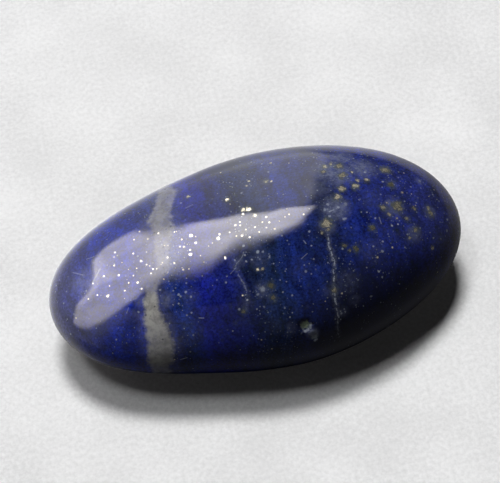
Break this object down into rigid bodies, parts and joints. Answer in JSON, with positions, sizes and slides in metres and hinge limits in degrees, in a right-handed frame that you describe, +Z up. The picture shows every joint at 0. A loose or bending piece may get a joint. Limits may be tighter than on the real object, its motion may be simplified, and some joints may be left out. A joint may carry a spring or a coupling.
{
  "type": "polished lapis lazuli pebble",
  "caption": "Tumbled egg-shaped lapis lazuli pebble, slimmer at one end, that lies on a small worn flat; a display and sorting specimen.",
  "frame": {"origin": "middle of the pebble's outline seen from above, on the surface that it lies on", "axes": "+X along the length, towards the fuller end; +Y away from the viewer of the picture; +Z up, across the thickness"},
  "size_m": [0.0382, 0.0212, 0.0145],
  "materials": {
    "lapis": "polished"
  },
  "bodies": {
    "root": {"lapis_stone": "lapis"}
  },
  "joints": []
}
